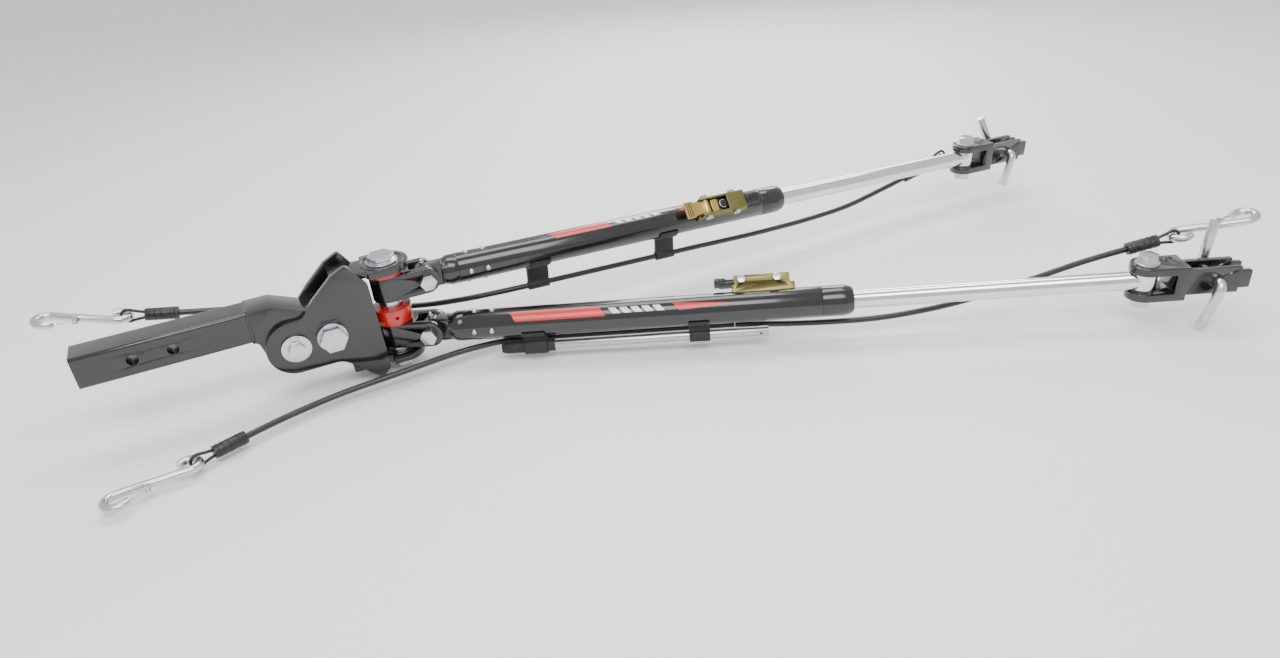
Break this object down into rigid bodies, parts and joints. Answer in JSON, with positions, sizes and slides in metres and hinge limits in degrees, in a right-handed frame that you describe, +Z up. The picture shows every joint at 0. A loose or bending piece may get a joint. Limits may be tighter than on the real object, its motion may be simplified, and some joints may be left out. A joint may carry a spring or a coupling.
{
  "type": "telescoping tow bar",
  "caption": "Telescoping A-frame tow bar: square receiver shank, pivoting head, latching arms with pinned yokes and hooked safety cables.",
  "frame": {"origin": "centre of the rear hitch-pin hole in the receiver shank", "axes": "+Z up, +X along the shank towards the arms, +Y from the low (near) arm's side to the high (far) arm's side"},
  "size_m": [1.8824, 0.8244, 0.2099],
  "materials": {
    "black_powder": "gloss",
    "red_paint": "gloss",
    "zinc_steel": "satin",
    "stainless": "polished",
    "yellow_zinc": "satin",
    "lever_dark": "satin",
    "brass": "satin",
    "rubber_black": "matt",
    "cable_coat": "satin",
    "crimp_black": "satin",
    "handle_steel": "brushed",
    "guide_plastic": "matt"
  },
  "bodies": {
    "head": {"shank_tube": "black_powder", "shank_neck": "black_powder", "head_plate_near": "black_powder", "head_plate_far": "black_powder", "head_top_plate": "black_powder", "head_bottom_plate": "black_powder", "head_bolts": "zinc_steel", "head_nuts": "zinc_steel", "kingpin_bolt": "zinc_steel", "collar_upper": "red_paint", "collar_lower": "red_paint", "kingpin_spacers": "zinc_steel"},
    "near_knuckle": {"near_knuckle": "black_powder", "near_knuckle_bolt": "zinc_steel"},
    "near_outer_arm": {"near_outer_tube": "black_powder", "near_end_plug": "black_powder", "near_tube_rivets": "zinc_steel", "near_end_collar": "black_powder", "near_latch_bracket": "yellow_zinc", "near_latch_bolts": "zinc_steel", "near_cable_clips": "rubber_black", "near_cable": "cable_coat", "near_rear_sleeve": "crimp_black", "near_rear_hook": "zinc_steel"},
    "near_inner_arm": {"near_inner_rod": "stainless", "near_rod_guide": "guide_plastic", "near_cable_front": "cable_coat"},
    "near_yoke": {"near_yoke": "black_powder", "near_yoke_bolt": "zinc_steel", "near_front_sleeve": "crimp_black", "near_front_hook": "zinc_steel"},
    "near_pull_pin": {"near_pull_pin": "zinc_steel"},
    "near_lever": {"near_latch_lever": "lever_dark"},
    "far_knuckle": {"far_knuckle": "black_powder", "far_knuckle_bolt": "zinc_steel"},
    "far_outer_arm": {"far_outer_tube": "black_powder", "far_end_plug": "black_powder", "far_tube_rivets": "zinc_steel", "far_end_collar": "black_powder", "far_latch_bracket": "yellow_zinc", "far_latch_bolts": "zinc_steel", "far_cable_clips": "rubber_black", "far_cable": "cable_coat", "far_rear_sleeve": "crimp_black", "far_rear_hook": "zinc_steel"},
    "far_inner_arm": {"far_inner_rod": "stainless", "far_rod_guide": "guide_plastic", "far_cable_eye": "crimp_black", "far_cable_stud": "zinc_steel", "far_cable_front": "cable_coat"},
    "far_yoke": {"far_yoke": "black_powder", "far_yoke_bolt": "zinc_steel"},
    "far_pull_pin": {"far_pull_pin": "zinc_steel"},
    "far_lever": {"far_latch_lever": "brass"},
    "near_rear_keeper": {"near_rear_keeper": "zinc_steel"},
    "far_rear_keeper": {"far_rear_keeper": "zinc_steel"},
    "near_front_keeper": {"near_front_keeper": "zinc_steel"},
    "release_handle": {"handle_tube": "handle_steel", "handle_grip": "rubber_black"}
  },
  "joints": [
    {"name": "near_yaw", "type": "hinge", "parent": "head", "child": "near_knuckle", "pos_m": [0.378, 0, -0.082], "axis": [0, 0, 1], "range_deg": [-8, 6]},
    {"name": "near_pitch", "type": "hinge", "parent": "near_knuckle", "child": "near_outer_arm", "pos_m": [0.43157, -0.02789, -0.082], "axis": [0.4617, 0.887, 0], "range_deg": [-8, 8]},
    {"name": "near_telescope", "type": "slide", "parent": "near_outer_arm", "child": "near_inner_arm", "axis": [0.8869, -0.4617, 0.014], "range_m": [-0.3, 0], "deforming": ["near_cable_front"]},
    {"name": "near_yoke_swivel", "type": "hinge", "parent": "near_inner_arm", "child": "near_yoke", "pos_m": [1.45243, -0.55931, -0.06593], "axis": [-0.0124, 0.0064, 0.9999], "range_deg": [-15, 15]},
    {"name": "near_pin_turn", "type": "hinge", "parent": "near_yoke", "child": "near_pull_pin", "pos_m": [1.54555, -0.60779, -0.06446], "axis": [0.4617, 0.887, 0], "range_deg": [-10, 20]},
    {"name": "near_lever_lift", "type": "hinge", "parent": "near_outer_arm", "child": "near_lever", "pos_m": [0.90163, -0.23718, -0.04847], "axis": [0.3063, 0.5652, -0.766], "range_deg": [0, 30]},
    {"name": "far_yaw", "type": "hinge", "parent": "head", "child": "far_knuckle", "pos_m": [0.378, 0, 0.002], "axis": [0, 0, 1], "range_deg": [0, 10]},
    {"name": "far_pitch", "type": "hinge", "parent": "far_knuckle", "child": "far_outer_arm", "pos_m": [0.43839, -0.00105, 0.002], "axis": [0.0175, 0.9998, 0], "range_deg": [-8, 8]},
    {"name": "far_telescope", "type": "slide", "parent": "far_outer_arm", "child": "far_inner_arm", "axis": [0.9991, -0.0174, -0.0384], "range_m": [-0.3, 0], "deforming": ["far_cable_front"]},
    {"name": "far_yoke_swivel", "type": "hinge", "parent": "far_inner_arm", "child": "far_yoke", "pos_m": [1.58837, -0.02113, -0.04218], "axis": [0.0384, -0.0007, 0.9993], "range_deg": [-15, 15]},
    {"name": "far_pin_turn", "type": "hinge", "parent": "far_yoke", "child": "far_pull_pin", "pos_m": [1.69327, -0.02296, -0.04621], "axis": [0.0175, 0.9998, 0], "range_deg": [-20, 20]},
    {"name": "far_lever_lift", "type": "hinge", "parent": "far_outer_arm", "child": "far_lever", "pos_m": [0.9524, -0.04144, 0.0086], "axis": [0.0406, 0.6422, 0.7655], "range_deg": [0, 30]},
    {"name": "near_rear_keeper_swing", "type": "hinge", "parent": "near_outer_arm", "child": "near_rear_keeper", "pos_m": [-0.0223, -0.16702, -0.128], "axis": [0, 0, 1], "range_deg": [-16, 0], "stiffness_Nm_per_rad": 0.02, "springref_deg": 8.59},
    {"name": "far_rear_keeper_swing", "type": "hinge", "parent": "far_outer_arm", "child": "far_rear_keeper", "pos_m": [-0.07892, 0.14283, 0.01141], "axis": [0.1675, -0.0202, 0.9857], "range_deg": [-16, 0], "stiffness_Nm_per_rad": 0.02, "springref_deg": 8.59},
    {"name": "near_front_keeper_swing", "type": "hinge", "parent": "near_yoke", "child": "near_front_keeper", "pos_m": [1.60155, -0.56227, -0.00288], "axis": [-0.2069, 0.0952, 0.9737], "range_deg": [-16, 0], "stiffness_Nm_per_rad": 0.02, "springref_deg": 8.59},
    {"name": "handle_pull", "type": "slide", "parent": "near_outer_arm", "child": "release_handle", "axis": [0.8869, -0.4617, 0.014], "range_m": [0, 0.12]}
  ]
}
